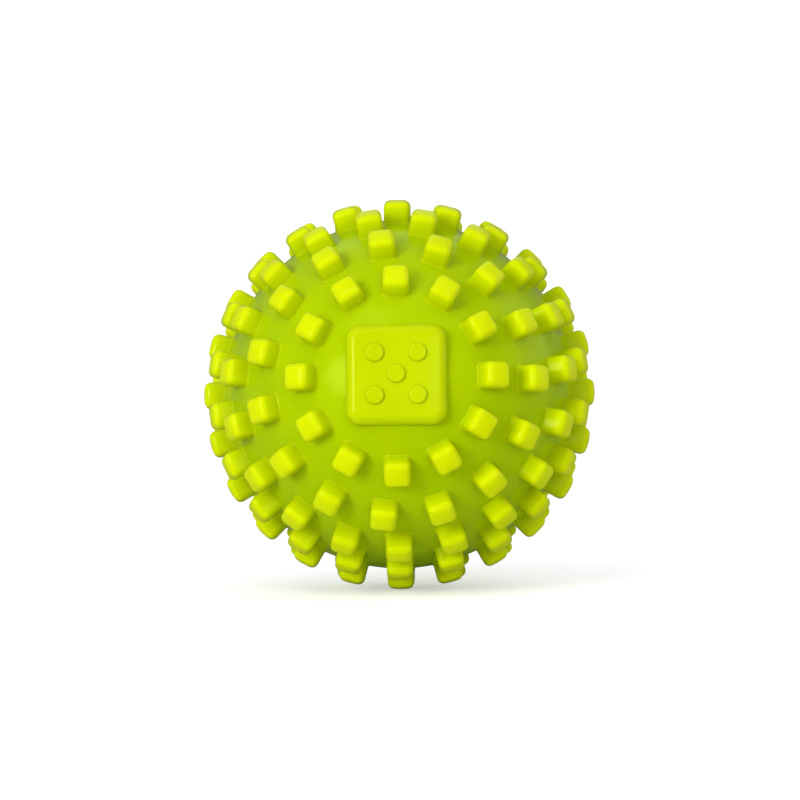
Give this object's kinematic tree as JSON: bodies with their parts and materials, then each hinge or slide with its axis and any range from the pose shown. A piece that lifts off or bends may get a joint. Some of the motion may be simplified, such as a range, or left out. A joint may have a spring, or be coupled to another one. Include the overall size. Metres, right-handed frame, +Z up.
{
  "type": "massage ball",
  "caption": "Firm textured massage ball with rows of small square nubs and a raised rounded-square tile at each pole.",
  "frame": {"origin": "centre of the ball", "axes": "+Z up as the ball lies on a level surface, -Y towards the side that the front tile faces, +X to the right when looking at the front tile"},
  "size_m": [0.0508, 0.0481, 0.0508],
  "materials": {
    "core": "dull moulded rubber, hidden inside the covers",
    "cover": "glossy moulded thermoplastic rubber, lime green",
    "tile": "satin moulded thermoplastic rubber, lime green",
    "nubs": "satin moulded thermoplastic rubber, lime green"
  },
  "bodies": {
    "root": {"core": "core", "front_cover": "cover", "rear_cover": "cover", "front_tile": "tile", "rear_tile": "tile", "tile_dots": "tile", "front_nub_row_1": "nubs", "front_nub_row_2": "nubs", "front_nub_row_3": "nubs", "front_nub_row_4": "nubs", "middle_nub_row": "nubs", "rear_nub_row_1": "nubs", "rear_nub_row_2": "nubs", "rear_nub_row_3": "nubs", "rear_nub_row_4": "nubs"}
  },
  "joints": []
}
